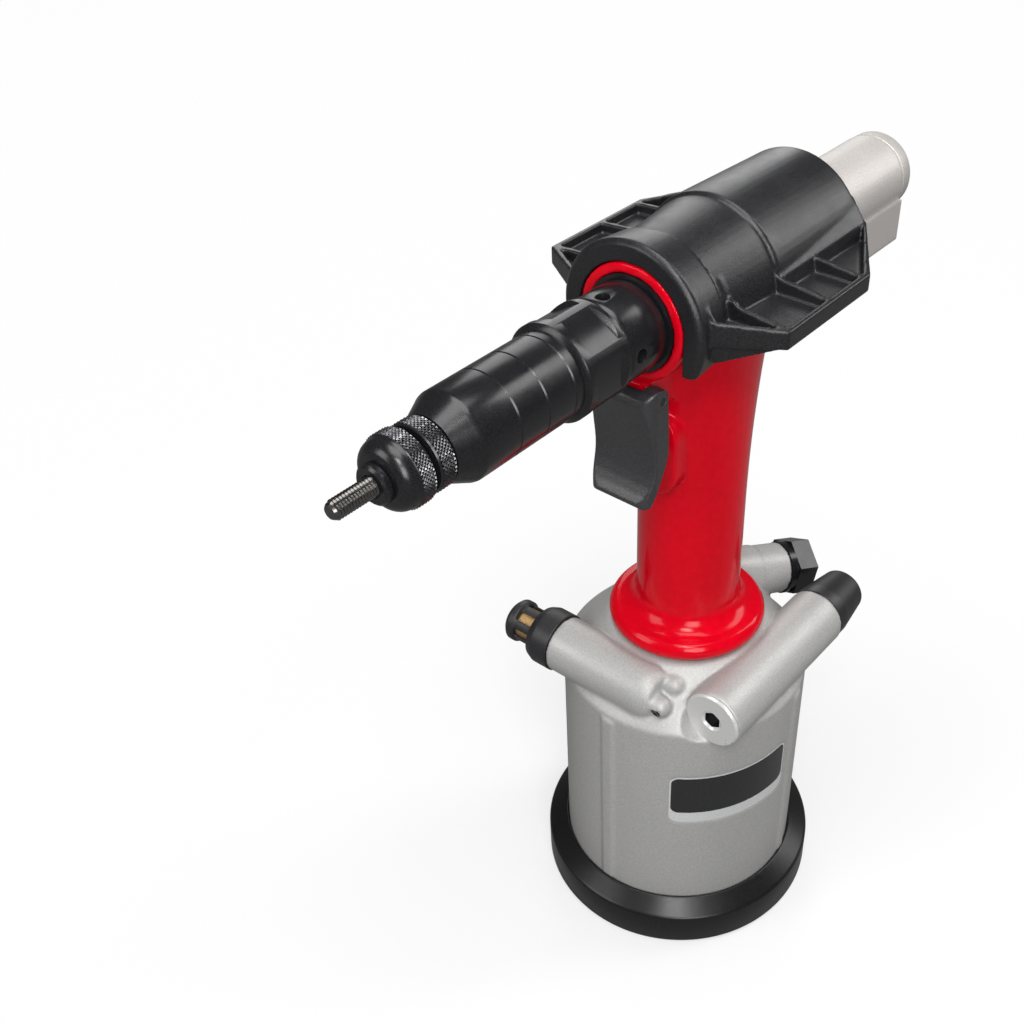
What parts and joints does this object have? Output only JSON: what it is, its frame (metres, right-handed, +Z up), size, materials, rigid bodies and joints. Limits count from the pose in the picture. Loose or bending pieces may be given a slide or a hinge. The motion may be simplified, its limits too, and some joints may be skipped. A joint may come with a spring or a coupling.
{
  "type": "rivet nut tool",
  "caption": "Hydro-pneumatic tool that sets rivet nuts: upright air cylinder on a rubber foot, red pistol grip with trigger, long black nose with threaded mandrel and rear air motor.",
  "frame": {"origin": "centre of the rubber foot's underside, which stands on the bench", "axes": "+Z up the air cylinder and grip, -X along the nose to the mandrel tip, +Y to the tool's left seen from behind the motor"},
  "size_m": [0.2808, 0.118, 0.3124],
  "materials": {
    "foot_rubber": "satin moulded rubber",
    "cast_aluminium": "fine shot-blasted casting",
    "machined_steel": "turned and ground",
    "black_oxide_steel": "black oxide, satin",
    "black_plastic": "moulded with a fine grain",
    "red_paint": "glossy enamel",
    "sintered_bronze": "dull bronze",
    "seal_rubber": "smooth rubber",
    "vane_composite": "fibre composite"
  },
  "bodies": {
    "tool": {"foot_ring": "foot_rubber", "air_cylinder": "cast_aluminium", "base_cover": "cast_aluminium", "base_snap_ring": "machined_steel", "rod_bush": "sintered_bronze", "rod_seal": "seal_rubber", "valve_plug": "cast_aluminium", "valve_cap": "black_plastic", "exhaust_cap": "black_plastic", "exhaust_silencer": "sintered_bronze", "relief_screw": "black_oxide_steel", "air_inlet": "black_oxide_steel", "handle": "red_paint", "trigger_pin": "machined_steel", "trigger_spring": "machined_steel", "head_cover": "black_plastic", "front_gland": "machined_steel", "nose_collar": "black_oxide_steel", "nose_barrel": "black_oxide_steel", "return_spring": "machined_steel", "rear_gland": "machined_steel", "ring_gear": "machined_steel", "motor_liner": "machined_steel", "front_plate": "sintered_bronze", "rear_plate": "sintered_bronze", "motor_housing": "cast_aluminium", "motor_end_cap": "cast_aluminium"},
    "intensifier": {"air_piston": "cast_aluminium", "air_piston_ring": "seal_rubber", "intensifier_rod": "machined_steel", "rod_nut": "machined_steel"},
    "spool": {"valve_spool": "machined_steel"},
    "trigger": {"trigger": "black_plastic"},
    "plunger": {"trigger_plunger": "machined_steel"},
    "lock": {"lock_ring": "black_oxide_steel"},
    "anvil": {"anvil_nut": "black_oxide_steel"},
    "traction": {"traction_piston": "machined_steel", "traction_ring": "seal_rubber", "mandrel_sleeve": "machined_steel"},
    "mandrel": {"mandrel": "machined_steel"},
    "drive": {"drive_shaft": "machined_steel", "planet_carrier": "machined_steel"},
    "planet_1": {"planet_1": "machined_steel"},
    "planet_2": {"planet_2": "machined_steel"},
    "planet_3": {"planet_3": "machined_steel"},
    "rotor": {"rotor": "machined_steel", "sun_pinion": "machined_steel", "vanes": "vane_composite"}
  },
  "joints": [
    {"name": "trigger_pull", "type": "hinge", "parent": "tool", "child": "trigger", "pos_m": [-0.0374, 0, 0.26], "axis": [0, -1, 0], "range_deg": [0, 7], "stiffness_Nm_per_rad": 0.6, "springref_deg": -5.73},
    {"name": "plunger_slide", "type": "slide", "parent": "tool", "child": "plunger", "axis": [1, 0, 0], "range_m": [0, 0.00294], "deforming": ["trigger_spring"]},
    {"name": "intensifier_lift", "type": "slide", "parent": "tool", "child": "intensifier", "axis": [0, 0, 1], "range_m": [0, 0.042]},
    {"name": "traction_pull", "type": "slide", "parent": "tool", "child": "traction", "axis": [1, 0, 0], "range_m": [0, 0.007], "deforming": ["return_spring"]},
    {"name": "drive_spin", "type": "hinge", "parent": "tool", "child": "drive", "pos_m": [0, 0, 0.2844], "axis": [1, 0, 0], "continuous": true},
    {"name": "mandrel_spin", "type": "hinge", "parent": "traction", "child": "mandrel", "pos_m": [-0.12, 0, 0.2844], "axis": [1, 0, 0], "continuous": true},
    {"name": "planet_1_spin", "type": "hinge", "parent": "drive", "child": "planet_1", "pos_m": [0.0658, 0, 0.27648], "axis": [1, 0, 0], "continuous": true},
    {"name": "planet_2_spin", "type": "hinge", "parent": "drive", "child": "planet_2", "pos_m": [0.0658, 0.00686, 0.28836], "axis": [1, 0, 0], "continuous": true},
    {"name": "planet_3_spin", "type": "hinge", "parent": "drive", "child": "planet_3", "pos_m": [0.0658, -0.00686, 0.28836], "axis": [1, 0, 0], "continuous": true},
    {"name": "rotor_spin", "type": "hinge", "parent": "tool", "child": "rotor", "pos_m": [0.085, 0, 0.2844], "axis": [1, 0, 0], "continuous": true},
    {"name": "lock_ring_turn", "type": "hinge", "parent": "tool", "child": "lock", "pos_m": [-0.13, 0, 0.2844], "axis": [1, 0, 0], "continuous": true},
    {"name": "anvil_turn", "type": "hinge", "parent": "tool", "child": "anvil", "pos_m": [-0.14, 0, 0.2844], "axis": [1, 0, 0], "continuous": true},
    {"name": "spool_shift", "type": "slide", "parent": "tool", "child": "spool", "axis": [1, 0, 0], "range_m": [0, 0.005]}
  ],
  "couplings": [
    {"joint": "plunger_slide", "follows": "trigger_pull", "m_per_rad": 0.024},
    {"joint": "traction_pull", "follows": "intensifier_lift", "ratio": 0.16666},
    {"joint": "mandrel_spin", "follows": "drive_spin", "ratio": 1},
    {"joint": "planet_1_spin", "follows": "drive_spin", "ratio": -3},
    {"joint": "planet_2_spin", "follows": "drive_spin", "ratio": -3},
    {"joint": "planet_3_spin", "follows": "drive_spin", "ratio": -3},
    {"joint": "rotor_spin", "follows": "drive_spin", "ratio": 4}
  ]
}
